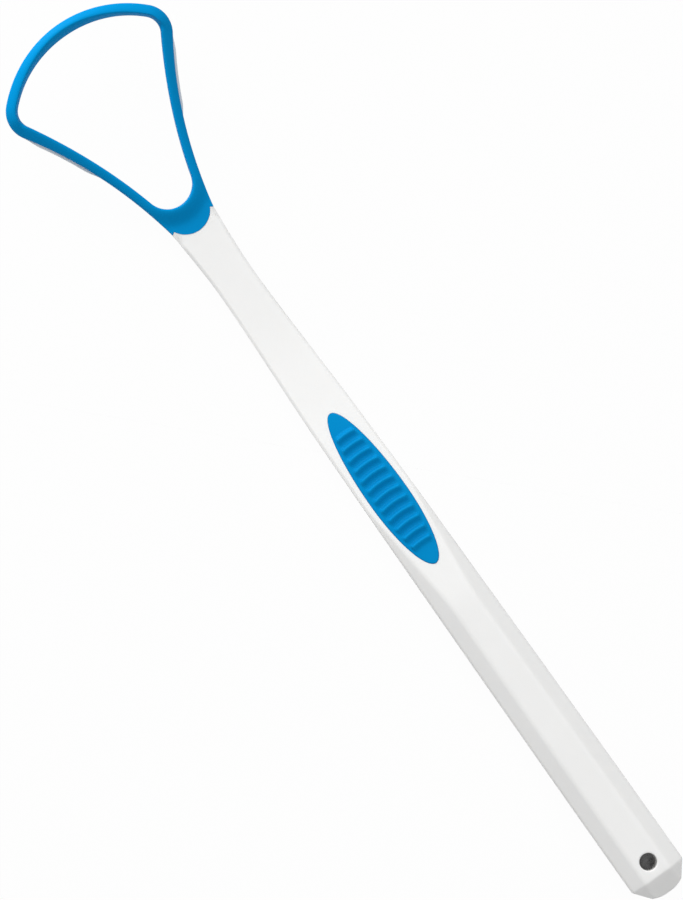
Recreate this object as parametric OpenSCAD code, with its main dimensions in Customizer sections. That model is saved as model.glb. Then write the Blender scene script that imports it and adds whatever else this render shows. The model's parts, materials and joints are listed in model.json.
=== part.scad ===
// Tongue scraper: a white moulded handle that runs out into a loop, a soft blue head moulded over the loop
// and a soft blue thumb pad with ribs. Lengths are in millimetres.
// The tool lies along X with its head towards +X and rests on the handle's flat underside.
// Every piece is drawn straight from the butt's tip at X = 0, and the spine then lifts the neck and head.

/* [Handle] */
// Length from the butt's tip to where the top starts to slope down
grip_l = 62; // [54:1:76]
// Length of the slope that carries the thumb pad
slope_l = 66; // [60:1:80]
// Length of the thin neck, from the foot of the slope to the shoulders
neck_l = 19.9; // [17:0.1:26]
// Width across the butt
butt_w = 11.05; // [10:0.05:13]
// Width at the start of the thumb pad
grip_w = 10.25; // [9.4:0.05:12]
// Width near the end of the thumb pad
slope_w = 9.28; // [8.4:0.02:11]
// Width of the neck at its waist
waist_w = 7.56; // [6.8:0.02:9]
// Thickness of the grip
grip_t = 8; // [7:0.1:9.5]
// Thickness of the neck
neck_t = 3.2; // [3:0.1:3.8]
// Width of the facets along the grip's long edges, seen from above
facet_w = 2.8; // [2:0.1:3.2]
// Depth of the facets along the grip's long edges
facet_h = 2.4; // [1.8:0.1:2.6]
// Length of the tapered end facets at the butt
nose_l = 3.6; // [3:0.1:4.4]
// Diameter of the hanging hole
hole_d = 3.2; // [2.6:0.1:4]
// Distance of the hanging hole from the butt's tip
hole_x = 6.75; // [6.2:0.05:12]

/* [Bend] */
// Length of the gentle upward bend before the shoulders
bend_l = 32.4; // [24:0.1:36]
// Radius of that bend
bend_r = 370; // [300:5:600]
// Radius of the scoop along the head
scoop_r = 154; // [130:1:260]

/* [Loop] */
// Width over the loop
head_w = 34.4; // [31:0.1:37]
// Length from the shoulders to the loop's tip
head_l = 42.9; // [41:0.1:46]
// Length from the shoulders to the opening's throat
throat_l = 3.6; // [3.2:0.1:4]
// Width of the arms
arm_band = 1.65; // [1.5:0.05:2]
// Width of the band round the corners
corner_band = 2.15; // [1.8:0.05:2.5]
// Width of the scraping lip at the tip
lip_band = 2.5; // [2.1:0.05:3]
// Centre-line radius of the loop's front
front_r = 21.2; // [20:0.1:24]
// Centre-line radius of the corners
corner_r = 4.15; // [3.4:0.05:4.6]
// Centre-line radius of the arms
arm_r = 89.5; // [84:0.5:100]
// Height of the white core at the loop's front
loop_t = 1.4; // [1.2:0.1:1.8]

/* [Head skin] */
// Thickness of the skin's bib, let in flush at the neck
bib_t = 0.8; // [0.6:0.05:1]
// Reach of the bib up the neck, from the shoulders
bib_reach = 2; // [1.4:0.1:2.6]
// Height of the rim round the opening, above the neck
rim_h = 1.3; // [0.6:0.05:1.6]
// Width of the rim's crest
rim_w = 0.2; // [0.1:0.05:0.9]
// Height of the scraping lip, above the neck
lip_h = 1.8; // [1.2:0.1:2.4]
// Thickness of the skin on the loop's outer side
side_t = 0.35; // [0.3:0.01:0.4]
// Thickness of the skin on the throat's wall
throat_side_t = 0.45; // [0.36:0.01:0.6]

/* [Thumb pad] */
// Distance of the pad's widest point from the start of the slope
pad_from_slope = 25.4; // [20:0.1:32]
// Length of the pad from its widest point towards the butt
pad_butt_l = 14.8; // [12:0.1:18]
// Length of the pad from its widest point towards the head
pad_head_l = 18.1; // [15:0.1:20]
// Width of the pad
pad_w = 7.3; // [6:0.1:8]
// Depth of the pocket that the pad sits in
pad_seat = 1.2; // [1:0.05:1.4]
// Height of the pad's crown above the handle
pad_crown = 0.3; // [0.2:0.05:0.8]
// Spacing of the ribs
rib_pitch = 2.133; // [1.9:0.001:2.6]
// Height of the ribs above the pad
rib_h = 0.55; // [0.2:0.05:0.7]
// Diameter of the studs under the pad
stud_d = 2.2; // [1.6:0.1:3]
// Length of the studs
stud_l = 1.2; // [0.8:0.1:1.4]
// Spacing of the studs
stud_pitch = 9; // [6:0.1:10]

/* [Hidden] */

WHITE = "#f2f2f0";
BLUE = "#0683c2";

// Gap between the skin and the core, and between the pad and its pocket
skin_gap = 0.03;
pad_gap = 0.05;
// Overrun of cuts past the faces that they open
overrun = 1;

// Places along the tool
total_l = grip_l + slope_l + neck_l + head_l;
slope_end_x = grip_l + slope_l;
shoulder_x = slope_end_x + neck_l;
throat_x = shoulder_x + throat_l;

// Butt: half widths where its end is cut, bulge of the end, and how far the end facets fall and rise
end_half_w = 1.2;
bulge_half_w = 3.2;
bulge_l = 0.7;
nose_fall = 2.6;
nose_rise = 2.4;

// Handle: places of the widths as shares of the slope, and the waist's distance from the shoulders
grip_w_share = 0.156;
slope_w_share = 0.66;
waist_back = 13.9;
// Widening of the neck at the shoulders, as a slope
neck_flare = 0.07;
// Lengths over which the slope begins and ends
ease_in_l = 6;
ease_out_l = 24;
// Least facet, and the rounding of the facets' edges
edge_h = 0.4;
soft_l = 0.55;
soft_share = 0.3;
facet_tilt = atan2(facet_h, facet_w);

// Loop: foot that shows below the skin, its chamfer, and where it starts past the shoulders
foot_h = 0.5;
foot_c = 0.15;
foot_start = 0.3;
// Heading of the arms where they meet the corners
arm_angle = 31.8;
// Length over which the core thins towards the front
thin_l = 22;
// Window where the foot stands out of the skin on the arms
window_from_throat = 12;
window_l = 14.4;
window_end_l = 3.2;
window_foot_h = 1.35;
window_proud = 0.45;

// Skin: step of the bib's corners, fall of the rim, heights of the lip's edges, roundings
shoulder_lip = 0.55;
shoulder_step = 0.36;
bib_proud = 0.05;
rim_fall_l = 3.2;
arm_fall_l = 2.9;
lip_in_h = 0.1;
lip_out_h = 0.7;
inner_round = 0.35;
outer_round = 0.4;
tip_crest_share = 0.5;
corner_crest_share = 0.24;
crest_power = 1.5;
// Where round the corner the lip stands at its full height, and how sharp its edges become
lip_start_share = 0.6;
lip_soft_share = 0.4;
band_shares = [0.07, 0.22, 0.36, 0.5, 0.64, 0.8, 0.93];
throat_shares = [0.02, 0.08, 0.16, 0.26, 0.36, 0.48, 0.64];
bib_floor_shares = [0.33, 0.66];
core_bib_share = 0.6;

// Pad: height of its edge, bow of its ribs, places of the first and last crest, and the ribs' profile
pad_edge = 0.1;
rib_bow = 0.6;
rib_start_share = 0.665;
rib_end_share = 0.8;
rib_fall_share = 0.25;
rib_phase_shares = [-0.75, -0.5, -0.25, 0];
rib_rise_shares = [0, 0.21, 0.57, 1];
pad_across_shares = [0, 0.35, 0.7, 0.82, 0.96, 1];
rib_across_shares = [1, 1, 1, 0, 0, 0];
pad_tip_angles = [8, 18, 29];
stud_places = [-1, 0, 1];

// Steps of the half section and of the half loop
m = 8;
throat_n = 12;
arm_n = 14;
corner_n = 12;
front_n = 16;
arm_end_k = throat_n + arm_n;
corner_end_k = arm_end_k + corner_n;
last_k = corner_end_k + front_n;

// Plain helpers
function mix(a, b, t) = a + (b - a) * t;
function clamp01(t) = max(0, min(1, t));
function ease(t) = let(c = clamp01(t)) c * c * (3 - 2 * c);
function lift(points) = [for (p = points) [p[0], p[1], p[2] + spine(p[0])]];
function mirrored(points) = [for (p = points) [p[0], -p[1], p[2]]];
function quad(a, b, c, d, flip) = flip ? [[a, b, d], [b, c, d]] : [[a, b, c], [a, c, d]];

// Spine: how far the neck and the head are lifted above the straight drawing
bend_x = shoulder_x - bend_l;
shoulder_z = bend_l * bend_l / (2 * bend_r);
shoulder_grade = bend_l / bend_r;
function spine(x) =
    x <= bend_x ? 0
    : x <= shoulder_x ? pow(x - bend_x, 2) / (2 * bend_r)
    : shoulder_z + shoulder_grade * (x - shoulder_x) + pow(x - shoulder_x, 2) / (2 * scoop_r);

// Plan of the loop: front arc, corner arc and arm arc are tangent where they meet
front_x = total_l - lip_band / 2 - front_r;
corner_y = head_w / 2 - corner_band / 2 - corner_r;
corner_x = front_x + sqrt(pow(front_r - corner_r, 2) - corner_y * corner_y);
front_angle = atan2(corner_y, corner_x - front_x);
arm_centre = [corner_x, corner_y] + (corner_r + arm_r) * [-sin(arm_angle), cos(arm_angle)];
arm_in_r = arm_r + arm_band / 2;
arm_out_r = arm_r - arm_band / 2;

// Throat: an arc through the opening's near end, tangent to the arms' inner edges
throat_r = (pow(arm_centre[0] - throat_x, 2) + pow(arm_centre[1], 2) - arm_in_r * arm_in_r)
    / (2 * (arm_in_r + arm_centre[0] - throat_x));
throat_centre = [throat_x + throat_r, 0];
throat_angle = atan2(throat_centre[0] - arm_centre[0], arm_centre[1]);

// Shoulders: where the arms' outer edges meet the neck
shoulder_angle = asin((shoulder_x - arm_centre[0]) / arm_out_r);
function arm_edge_y(x) = arm_centre[1] - sqrt(arm_out_r * arm_out_r - pow(x - arm_centre[0], 2));
shoulder_half_w = arm_edge_y(shoulder_x);
step_l = arm_out_r * (throat_angle - shoulder_angle) * PI / 180 / (throat_n - m);

// Bib: the arc that ends the skin on the neck
bib_half_w = shoulder_half_w - shoulder_lip;
bib_depth = bib_reach + shoulder_step;
bib_r = (bib_half_w * bib_half_w + bib_depth * bib_depth) / (2 * bib_depth);
bib_angle = asin(bib_half_w / bib_r);
bib_x = shoulder_x - bib_reach;
function bib_point(k, gap) = let(a = bib_angle * k / (m - 1))
    [bib_x + gap + bib_r * (1 - cos(a)), bib_r * sin(a)];

// Heights in the straight drawing
floor_z = neck_t - bib_t;
function loop_low(x) = (floor_z - loop_t) * ease((x - throat_centre[0]) / thin_l);
// Width of the band at a station of the half loop
function band(k) =
    k <= arm_end_k ? mix(arm_band, corner_band, pow(clamp01((k - throat_n) / arm_n), 3))
    : mix(corner_band, lip_band, ease((k - corner_end_k) / front_n));

// A point of the half loop, at a station and an offset outward from the centre line
function band_point(k, offset) =
    k <= arm_end_k ?
        let(a = mix(throat_angle, arm_angle, (k - throat_n) / arm_n))
        arm_centre + (arm_r - offset) * [sin(a), -cos(a)]
    : k <= corner_end_k ?
        let(a = mix(arm_angle, front_angle - 90, (k - arm_end_k) / corner_n))
        [corner_x, corner_y] + (corner_r + offset) * [-sin(a), cos(a)]
    :
        let(a = mix(front_angle, 0, (k - corner_end_k) / front_n))
        [front_x, 0] + (front_r + offset) * [cos(a), sin(a)];

// Points at a depth into the band from its inner edge and from its outer edge
function inner_point(k, depth) =
    k > throat_n ? band_point(k, depth - band(k) / 2)
    : let(a = 180 - (90 - throat_angle) * k / throat_n)
      throat_centre + (throat_r + depth) * [cos(a), sin(a)];
function outer_point(k, depth) =
    k > throat_n ? band_point(k, band(k) / 2 - depth)
    : let(a = mix(shoulder_angle, throat_angle, (k - m) / (throat_n - m)))
      arm_centre + (arm_out_r + depth) * [sin(a), -cos(a)];
function inner_side(k) = mix(throat_side_t, side_t, ease((k - m) / m));

// Foot at a station: how far the window is open there, and the heights of the foot's outer edge
window_x = throat_x + window_from_throat;
function edge_x(k) = outer_point(max(k, m), 0)[0];
function window(k) = let(x = edge_x(k) - window_x)
    ease(x / window_end_l) * ease((window_l - x) / window_end_l);
function foot_low(k) = loop_low(edge_x(k));
function foot_top(k) = foot_low(k) + mix(foot_h, window_foot_h, window(k));

// Handle: half width along it
width_x = [nose_l, mix(grip_l, slope_end_x, grip_w_share), mix(grip_l, slope_end_x, slope_w_share),
    shoulder_x - waist_back, shoulder_x];
width_y = [butt_w / 2, grip_w / 2, slope_w / 2, waist_w / 2, shoulder_half_w];
width_n = len(width_x) - 1;
function width_slope(i) =
    i == 0 ? 0
    : i == width_n ? neck_flare
    : (width_y[i + 1] - width_y[i - 1]) / (width_x[i + 1] - width_x[i - 1]);
function width_between(i, x) = let(l = width_x[i + 1] - width_x[i], t = (x - width_x[i]) / l, u = 1 - t)
    (1 + 2 * t) * u * u * width_y[i] + t * u * u * l * width_slope(i)
    + t * t * (3 - 2 * t) * width_y[i + 1] - t * t * u * l * width_slope(i + 1);
function half_width(x) =
    x <= bulge_l ? sqrt(mix(end_half_w * end_half_w, bulge_half_w * bulge_half_w, x / bulge_l))
    : x <= nose_l ? mix(bulge_half_w, butt_w / 2, (x - bulge_l) / (nose_l - bulge_l))
    : width_between(max([for (i = [0:width_n - 1]) x >= width_x[i] ? i : 0]), x);

// Handle: fall of its top along the slope
slope_fall = grip_t - neck_t;
slope_grade = slope_fall / (slope_l - (ease_in_l + ease_out_l) / 2);
function fall(x) = let(a = x - grip_l, b = slope_end_x - x)
    a <= 0 ? 0
    : b <= 0 ? slope_fall
    : a < ease_in_l ? slope_grade * a * a / (2 * ease_in_l)
    : b < ease_out_l ? slope_fall - slope_grade * b * b / (2 * ease_out_l)
    : slope_grade * (a - ease_in_l / 2);
function nose(x) = 1 - clamp01(x / nose_l);
function top_z(x) = grip_t - fall(x) - nose_fall * nose(x);
function low_z(x) = nose_rise * nose(x);
function top_facet(x) = max(edge_h, facet_h - fall(x) - nose_fall * nose(x));
function low_facet(x) = let(h = facet_h - nose_rise * nose(x))
    max(edge_h, mix(h, edge_h, ease((x - slope_end_x) / neck_l)));

// Half section of a face with facets: distance from the middle, and depth below the face
function faced(w, f) = let(
        g = f * facet_w / facet_h,
        t = min(soft_l, soft_share * g),
        run = t * cos(facet_tilt),
        dip = t * sin(facet_tilt),
        flat = w - g - t,
        bend = [w - g + run, dip])
    concat(
        [for (k = [0:m / 2]) [flat * 2 * k / m, 0]],
        [([flat, 0] + 2 * [w - g, 0] + bend) / 4, bend, [w - run, f - dip], [w, f + t]]);

// One ring round the tool: across the top, down the +Y side, back across the underside, up the -Y side
function ring(top, side, low) = concat(
    mirrored([for (k = [m:-1:1]) top[k]]), top, side,
    [for (k = [m:-1:0]) low[k]], mirrored([for (k = [1:m]) low[k]]),
    mirrored([for (q = [2:-1:0]) side[q]]));
function handle_ring(x) = let(
        w = half_width(x),
        upper = faced(w, top_facet(x)),
        under = faced(w, low_facet(x)),
        side_top = top_z(x) - upper[m][1],
        side_low = low_z(x) + under[m][1])
    ring(
        [for (p = upper) [x, p[0], top_z(x) - p[1]]],
        [for (q = [1:3]) [x, w, mix(side_top, side_low, q / 4)]],
        [for (p = under) [x, p[0], low_z(x) + p[1]]]);

// Ring where the neck ends at the bib and the shoulders
function bib_top(z, corner) = [for (k = [0:m]) k < m ? [each bib_point(k, 0), z] : [shoulder_x, corner, z]];
function flat_low(x, w) = [for (k = [0:m]) [x, (w - foot_c) * k / m, 0]];
shoulder_ring = ring(
    bib_top(neck_t, shoulder_half_w),
    [for (z = [foot_h, (foot_h + foot_c) / 2, foot_c]) [shoulder_x, shoulder_half_w, z]],
    flat_low(shoulder_x, shoulder_half_w));

// Ring on the floor of the skin's seat, one step inside the shoulders
foot_x = shoulder_x + foot_start;
foot_y = arm_edge_y(foot_x);
web_y = shoulder_half_w - side_t;
seat_ring = ring(
    bib_top(floor_z, web_y),
    [[shoulder_x, web_y, foot_h], [foot_x, foot_y, foot_h], [foot_x, foot_y, foot_c]],
    flat_low(foot_x, foot_y));

// Places of the handle's rings
slope_rings = 22;
neck_rings = 8;
neck_ring_share = 0.94;
bulge_ring_shares = [0, 0.17, 0.5, 1];
nose_ring_shares = [0.33, 0.67, 1];
grip_ring_shares = [0.17, 0.33, 0.67, 1];
handle_x = concat(
    [for (s = bulge_ring_shares) bulge_l * s],
    [for (s = nose_ring_shares) mix(bulge_l, nose_l, s)],
    [for (s = grip_ring_shares) mix(nose_l, grip_l, s)],
    [for (i = [1:slope_rings]) mix(grip_l, slope_end_x, i / slope_rings)],
    [for (i = [1:neck_rings]) mix(slope_end_x, bib_x, neck_ring_share * i / neck_rings)]);
handle_rings = concat([for (x = handle_x) handle_ring(x)], [shoulder_ring, seat_ring]);

// Section of the core's loop: from the web's outer top, down and round the foot, to the web's inner top
function core_section(k) = let(
        in = inner_point(k, 0),
        web_in = inner_point(k, inner_side(k)),
        foot_in = inner_point(k, foot_c),
        bib = k < m,
        proud = window_proud * window(k),
        web_out = bib ? mix(bib_point(k, 0), web_in, core_bib_share) : outer_point(k, side_t),
        out = bib ? web_out : outer_point(k, -proud),
        foot_out = bib ? mix(bib_point(k, 0), in, core_bib_share) : outer_point(k, foot_c - proud),
        low_in = loop_low(in[0]),
        low_out = foot_low(k),
        high_in = low_in + foot_h,
        high_out = foot_top(k))
    [
        [each web_out, floor_z], [each web_out, high_out],
        [each out, high_out], [each out, low_out + foot_c],
        [each foot_out, low_out], [each foot_in, low_in],
        [each in, low_in + foot_c], [each in, high_in],
        [each web_in, high_in], [each web_in, floor_z]
    ];
// The core's station at each shoulder lies half a step past it
core_shift_share = 0.5;
core_half = [for (k = [0:last_k]) core_section(k == m ? k + core_shift_share : k)];

// A closed loop of sections: the +Y half, then its mirror image back to the throat
function closed_loop(half) = let(n = len(half) - 1)
    concat(half, [for (i = [n - 1:-1:1]) mirrored(half[i])]);
function flat_list(rings) = [for (r = rings) each r];
function loop_faces(n, size, base, skip) = flat_list([
    for (k = [-n:n - 1], j = [0:size - 1])
        if (!(k >= -skip && k < skip && j < size / 2 - 1))
            let(a = (k + 2 * n) % (2 * n), b = (k + 1 + 2 * n) % (2 * n), i = (j + 1) % size)
            quad(base + a * size + j, base + a * size + i, base + b * size + i, base + b * size + j, k < 0)
]);

// The core is one skin of triangles: the butt's cap, the handle's rings, and the loop on the last ring
ring_n = 4 * m + 8;
section_n = 10;
cap_i = len(handle_rings) * ring_n;
loop_i = cap_i + 1;
function loop_id(k, j) = loop_i + ((k + 2 * last_k) % (2 * last_k)) * section_n + j;
function rim_id(i) =
    i <= 2 * m ? loop_id(i - m, 0)
    : i <= 2 * m + 3 ? loop_id(m, i - 2 * m)
    : i <= 4 * m + 4 ? loop_id(3 * m + 4 - i, 4)
    : loop_id(-m, ring_n - i);
function ring_id(r, i) = r < len(handle_rings) ? r * ring_n + i % ring_n : rim_id(i % ring_n);
core_points = lift(concat(
    flat_list(handle_rings),
    [[0, 0, (top_z(0) + low_z(0)) / 2]],
    flat_list(closed_loop(core_half))));
core_faces = concat(
    [for (i = [0:ring_n - 1]) [cap_i, (i + 1) % ring_n, i]],
    flat_list([for (r = [0:len(handle_rings) - 1], i = [0:ring_n - 1])
        quad(ring_id(r, i), ring_id(r, i + 1), ring_id(r + 1, i + 1), ring_id(r + 1, i),
            i < m || i > 3 * m + 3)]),
    loop_faces(last_k, section_n, loop_i, m));

// Height of the skin over the neck, at a point that lies a share of the way across the band
function rounding(r, d) = d >= r ? 0 : r - sqrt(r * r - pow(r - max(0, d), 2));
function lip_part(k) = ease((k - arm_end_k) / (corner_n * lip_start_share));
function crest_share(k) = let(s = mix(tip_crest_share, corner_crest_share, lip_part(k)))
    mix(s, tip_crest_share, ease((k - corner_end_k) / front_n));
function rim_rise(k, d) = let(l = mix(rim_fall_l, arm_fall_l, ease((k - m) / (m - 2))))
    bib_proud + (rim_h - bib_proud) * (1 - ease((d - rim_w) / l));
function lip_rise(k, s) = let(c = crest_share(k))
    s < c ? mix(lip_h, lip_in_h, pow(1 - s / c, crest_power))
    : mix(lip_h, lip_out_h, pow((s - c) / (1 - c), crest_power));
function skin_rise(k, p, s) = let(
        w = norm(outer_point(k, 0) - inner_point(k, 0)),
        inner_d = k <= throat_n ? norm(p - throat_centre) - throat_r : s * w,
        outer_d = k <= m ? outer_round : k <= throat_n ? norm(p - arm_centre) - arm_out_r : (1 - s) * w,
        soft = mix(1, lip_soft_share, lip_part(k)))
    mix(rim_rise(k, inner_d), lip_rise(k, s), lip_part(k))
    - rounding(inner_round * soft, inner_d)
    - rounding(outer_round * soft * ease((k - m) / (throat_n - m)), outer_d);

// Where the skin's profile is sampled across the band, with one sample on the lip's crest
function sample_share(k, i) = let(
        s = mix(throat_shares[i], band_shares[i], ease((k - m) / (throat_n - m))),
        c = crest_share(k))
    s < 0.5 ? s * 2 * c : c + (s - 0.5) * 2 * (1 - c);

// Section of the skin: up the opening's wall, across the top, down the outer wall, and back inside
function skin_section(k, leg) = let(
        bib = k < m,
        in = inner_point(k, 0),
        out = bib ? bib_point(k, skin_gap) : outer_point(k, 0),
        side_in = inner_point(k, inner_side(k) - skin_gap),
        side_out = bib ? mix(out, side_in, bib_floor_shares[0]) : outer_point(k, side_t - skin_gap),
        seat = floor_z + skin_gap,
        foot_in = loop_low(in[0]) + foot_h + skin_gap,
        foot_out = leg ? foot_top(k) + skin_gap : seat,
        span = mix(side_out, side_in, bib_floor_shares[0]))
    concat(
        [[each in, foot_in], [each in, neck_t + skin_rise(k, in, 0)]],
        [for (i = [0:len(band_shares) - 1])
            let(s = sample_share(k, i), p = mix(in, out, s)) [each p, neck_t + skin_rise(k, p, s)]],
        [[each out, neck_t + skin_rise(k, out, 1)], [each out, foot_out]],
        leg ? [[each side_out, foot_out], [each side_out, seat]]
        : [[each side_out, seat], [each span, seat]],
        [[each side_in, seat], [each side_in, foot_in]]);
// At each shoulder the skin has one section that ends the bib and one that starts the leg
gap_k = skin_gap / step_l;
skin_half = concat(
    [for (k = [0:m - 1]) skin_section(k, false)],
    [skin_section(m + gap_k, false), skin_section(m + 2 * gap_k, true)],
    [for (k = [m + 1:last_k]) skin_section(k, true)]);
skin_n = len(skin_half[0]);

// Pad: its half width, its dome, and the places of its sections
function pad_reach(x) = x < 0 ? pad_butt_l : pad_head_l;
function pad_half_w(x) = pad_w / 2 * sqrt(max(0, 1 - pow(x / pad_reach(x), 2)));
rib_first_x = -rib_start_share * pad_butt_l;
rib_n = 1 + floor((rib_end_share * pad_head_l - rib_first_x) / rib_pitch);
rib_last = len(rib_phase_shares) - 1;
pad_sections = concat(
    [for (a = pad_tip_angles) [-pad_butt_l * cos(a), 0]],
    [for (i = [0:rib_n - 1], j = [0:rib_last])
        [rib_first_x + (i + rib_phase_shares[j]) * rib_pitch, rib_rise_shares[j]]],
    [[rib_first_x + (rib_n - 1 + rib_fall_share) * rib_pitch, 0]],
    [for (i = [len(pad_tip_angles) - 1:-1:0]) [pad_head_l * cos(pad_tip_angles[i]), 0]]);
function pad_point(x, rise, i) = let(
        a = pad_across_shares[i],
        bowed = x - rib_bow * a * a * pow(2 * pad_half_w(x) / pad_w, 2),
        w = pad_half_w(bowed),
        dome = (pad_crown - pad_edge) * (1 - a * a) * 2 * w / pad_w)
    [bowed, a * w, pad_edge + dome + rib_h * rise * rib_across_shares[i]];
across_n = len(pad_across_shares) - 1;
function pad_ring(s) = let(
        half = [for (i = [0:across_n]) pad_point(s[0], s[1], i)],
        edge = half[across_n],
        low = [edge[0], edge[1], pad_gap - pad_seat])
    concat(mirrored([for (i = [across_n:-1:1]) half[i]]), half, [low], mirrored([low]));
pad_rings = [for (s = pad_sections) pad_ring(s)];
pad_ring_n = len(pad_rings[0]);
pad_last = len(pad_rings) - 1;
function mid_point(points) = [for (axis = [0:2])
    [for (p = points) p[axis]] * [for (p = points) 1] / len(points)];
pad_points = concat(flat_list(pad_rings), [mid_point(pad_rings[0]), mid_point(pad_rings[pad_last])]);
pad_start_i = len(pad_rings) * pad_ring_n;
pad_faces = concat(
    [for (i = [0:pad_ring_n - 1]) [pad_start_i, (i + 1) % pad_ring_n, i]],
    [for (i = [0:pad_ring_n - 1])
        [pad_start_i + 1, pad_last * pad_ring_n + i, pad_last * pad_ring_n + (i + 1) % pad_ring_n]],
    flat_list([for (r = [0:pad_last - 1], i = [0:pad_ring_n - 1]) let(j = (i + 1) % pad_ring_n)
        quad(r * pad_ring_n + i, r * pad_ring_n + j, (r + 1) * pad_ring_n + j, (r + 1) * pad_ring_n + i,
            i < across_n)]));

// The pad's own frame: at its widest point, tilted with the slope
pad_x = grip_l + pad_from_slope;
module pad_frame() {
    translate([pad_x, 0, top_z(pad_x)]) rotate([0, atan(slope_grade), 0]) children();
}
module studs(gap) {
    for (i = stud_places)
        translate([i * stud_pitch, 0, -pad_seat - stud_l - gap])
            cylinder(d = stud_d + 2 * gap, h = stud_l + gap + pad_seat / 2, $fn = 32);
}
module pad_pocket() {
    steps = 72;
    pad_frame() {
        translate([0, 0, -pad_seat])
            linear_extrude(pad_seat + overrun)
                polygon([for (i = [0:steps - 1]) let(a = i * 360 / steps)
                    [(pad_reach(cos(a)) + pad_gap) * cos(a), (pad_w / 2 + pad_gap) * sin(a)]]);
        studs(pad_gap);
    }
}

// The butt's tip stands half the tool's length behind the origin
module placed() {
    translate([-total_l / 2, 0, 0]) children();
}

module handle_core() {
    color(WHITE) placed() difference() {
        polyhedron(core_points, core_faces, convexity = 10);
        translate([hole_x, 0, -overrun]) cylinder(d = hole_d, h = grip_t + 2 * overrun, $fn = 48);
        pad_pocket();
    }
}

module head_skin() {
    color(BLUE) placed()
        polyhedron(lift(flat_list(closed_loop(skin_half))),
            loop_faces(len(skin_half) - 1, skin_n, 0, -len(skin_half)), convexity = 10);
}

module thumb_pad() {
    color(BLUE) placed() pad_frame() union() {
        polyhedron(pad_points, pad_faces, convexity = 10);
        studs(0);
    }
}

handle_core();
head_skin();
thumb_pad();
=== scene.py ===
"""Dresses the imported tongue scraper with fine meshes, real finishes, a floor, lights and a camera."""

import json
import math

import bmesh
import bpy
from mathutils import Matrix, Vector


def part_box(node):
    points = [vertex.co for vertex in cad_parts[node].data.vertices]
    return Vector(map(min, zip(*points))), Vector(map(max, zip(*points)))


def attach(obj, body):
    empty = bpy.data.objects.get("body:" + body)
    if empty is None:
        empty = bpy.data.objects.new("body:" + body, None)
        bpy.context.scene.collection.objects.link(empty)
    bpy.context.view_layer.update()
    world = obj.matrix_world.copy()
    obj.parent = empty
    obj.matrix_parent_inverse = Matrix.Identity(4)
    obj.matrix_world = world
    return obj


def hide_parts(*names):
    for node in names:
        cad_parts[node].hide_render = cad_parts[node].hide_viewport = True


bl_info = {
    "name": "Tongue scraper",
    "version": (1, 0, 0),
    "blender": (4, 5, 0),
    "location": "View3D > Sidebar > Scraper",
    "description": "Builds a white moulded tongue scraper with a soft blue head and thumb pad",
    "category": "Add Mesh",
}

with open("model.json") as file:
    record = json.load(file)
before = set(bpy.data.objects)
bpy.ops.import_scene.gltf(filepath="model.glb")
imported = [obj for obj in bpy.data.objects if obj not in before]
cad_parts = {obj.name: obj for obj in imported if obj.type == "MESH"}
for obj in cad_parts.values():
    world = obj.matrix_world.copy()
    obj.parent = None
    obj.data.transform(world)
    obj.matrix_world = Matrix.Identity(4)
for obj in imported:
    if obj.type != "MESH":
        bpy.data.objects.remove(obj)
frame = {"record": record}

MM = 0.001
BODY = "root"
CORE_LOW, CORE_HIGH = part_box("handle_core")
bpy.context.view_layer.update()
HOLE = next(m for m in frame["record"]["mounts"] if m["name"] == "hang_hole")

# Steps of the fine meshes: flat, rounded edge, round the throat, and along the loop
FLAT_STEPS = 8
EDGE_STEPS = 4
HALF_STEPS = FLAT_STEPS + 2 * EDGE_STEPS + 1
FOOT_STEPS = 3
SIDE_STEPS = FOOT_STEPS + 2
THROAT_STEPS = HALF_STEPS + 8
ARM_END = THROAT_STEPS + 36
CORNER_END = ARM_END + 26
LAST_STEP = CORNER_END + 44
SKIN_EDGE_STEPS = 6
SKIN_FLAT_STEPS = 20

# The core's first section past the shoulders, and its points above the foot's outer curve
PAST_SHOULDER = HALF_STEPS + 0.5
WALL_POINTS = 3

# Steps of the pad and of the cutters
RIB_STEPS = 14
PAD_END_STEPS = 6
PAD_HALF_STEPS = 24
PAD_EDGE_SHARES = (0.945, 0.97, 0.985, 0.995, 1.0)
PAD_TIP_DEGREES = (4, 8, 13, 19, 25)
RIM_DEGREES = (0, 22.5, 45, 67.5, 90)
HOLE_STEPS = 64
POCKET_STEPS = 120

# Places of the butt's rings in its short lengths, and the spacing of the rings after them
END_ROUND_SHARES = (0.0, 0.15, 0.5, 1.0)
BULGE_SHARES = (0.5, 1.0)
END_FACET_SHARES = (0.2, 0.4, 0.6, 0.8, 1.0)
END_CORNER_SHARES = (-0.5, 0.0, 0.5, 1.0)
RING_SPACING = 1.2 * MM

# Proportions of the handle and the core
GRIP_PLACE = 0.156  # where the grip width lies along the slope
SLOPE_PLACE = 0.66  # where the slope width lies along the slope
SHOULDER_FLARE = 0.07  # grade of the plan's edge at the shoulders
EDGE_LIMIT = 0.3  # most that one rounded edge takes of a facet or band
THIN_SHARE = 1.1  # of the neck's length, in which the loop's core thins
FOOT_START_SHARE = 0.6  # of the foot's height, from the shoulders to the foot
WEB_PLACE = 0.6  # of the way from the bib's edge to the throat
HOLE_RIM_SHARE = 0.6  # of the least facet, for the rounding of the hole's rims
HAIR_SHARE = 0.05  # of that rounding, by which the cutter passes the faces

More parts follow.
